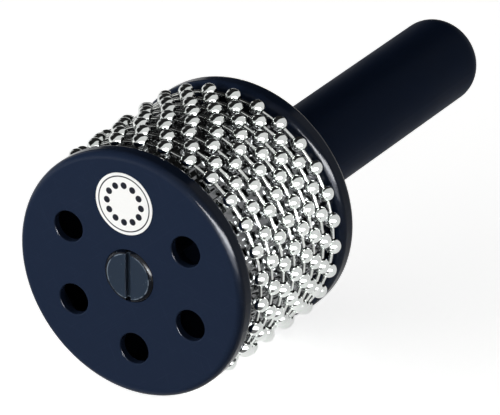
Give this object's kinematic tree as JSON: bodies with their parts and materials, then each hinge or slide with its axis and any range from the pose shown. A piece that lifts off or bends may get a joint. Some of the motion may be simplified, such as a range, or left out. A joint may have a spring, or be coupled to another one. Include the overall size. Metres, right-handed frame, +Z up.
{
  "type": "cabasa",
  "caption": "Cabasa: loops of steel ball chain that turn on a ridged steel drum between black end plates, with a round black handle held by a slotted bolt.",
  "frame": {"origin": "on the surface the instrument lies on, under the middle of its length and width", "axes": "+Y along the drum axis to the free end of the handle, +Z up, +X to the right seen from the front plate"},
  "size_m": [0.1026, 0.237, 0.1027],
  "materials": {
    "plate_abs": "gloss blue-black moulded ABS",
    "handle_abs": "satin black moulded ABS",
    "bead_nickel": "polished nickel plate on steel",
    "link_steel": "drawn steel wire, nickel plated",
    "drum_steel": "rolled stainless sheet with pressed ridges",
    "bolt_black": "blue-black plated steel",
    "zinc_steel": "zinc plated steel",
    "label_vinyl": "white vinyl, blank"
  },
  "bodies": {
    "instrument": {"front_plate": "plate_abs", "front_label": "label_vinyl", "clamp_bolt": "bolt_black", "bolt_washer": "zinc_steel", "drum": "drum_steel", "rear_plate": "plate_abs", "handle": "handle_abs", "handle_plug": "handle_abs", "clamp_nut": "zinc_steel"},
    "chain_loop_1": {"bead_loop_1": "bead_nickel", "link_loop_1": "link_steel"},
    "chain_loop_2": {"bead_loop_2": "bead_nickel", "link_loop_2": "link_steel"},
    "chain_loop_3": {"bead_loop_3": "bead_nickel", "link_loop_3": "link_steel"},
    "chain_loop_4": {"bead_loop_4": "bead_nickel", "link_loop_4": "link_steel"},
    "chain_loop_5": {"bead_loop_5": "bead_nickel", "link_loop_5": "link_steel"},
    "chain_loop_6": {"bead_loop_6": "bead_nickel", "link_loop_6": "link_steel"},
    "chain_loop_7": {"bead_loop_7": "bead_nickel", "link_loop_7": "link_steel"},
    "chain_loop_8": {"bead_loop_8": "bead_nickel", "link_loop_8": "link_steel"}
  },
  "joints": [
    {"name": "loop_1_spin", "type": "hinge", "parent": "instrument", "child": "chain_loop_1", "pos_m": [0, -0.10135, 0.05137], "axis": [0, 1, 0], "continuous": true},
    {"name": "loop_2_spin", "type": "hinge", "parent": "instrument", "child": "chain_loop_2", "pos_m": [0, -0.09349, 0.05137], "axis": [0, 1, 0], "continuous": true},
    {"name": "loop_3_spin", "type": "hinge", "parent": "instrument", "child": "chain_loop_3", "pos_m": [0, -0.08572, 0.05137], "axis": [0, 1, 0], "continuous": true},
    {"name": "loop_4_spin", "type": "hinge", "parent": "instrument", "child": "chain_loop_4", "pos_m": [0, -0.07796, 0.05137], "axis": [0, 1, 0], "continuous": true},
    {"name": "loop_5_spin", "type": "hinge", "parent": "instrument", "child": "chain_loop_5", "pos_m": [0, -0.07066, 0.05137], "axis": [0, 1, 0], "continuous": true},
    {"name": "loop_6_spin", "type": "hinge", "parent": "instrument", "child": "chain_loop_6", "pos_m": [0, -0.06393, 0.05137], "axis": [0, 1, 0], "continuous": true},
    {"name": "loop_7_spin", "type": "hinge", "parent": "instrument", "child": "chain_loop_7", "pos_m": [0, -0.05711, 0.05137], "axis": [0, 1, 0], "continuous": true},
    {"name": "loop_8_spin", "type": "hinge", "parent": "instrument", "child": "chain_loop_8", "pos_m": [0, -0.04991, 0.05137], "axis": [0, 1, 0], "continuous": true}
  ]
}
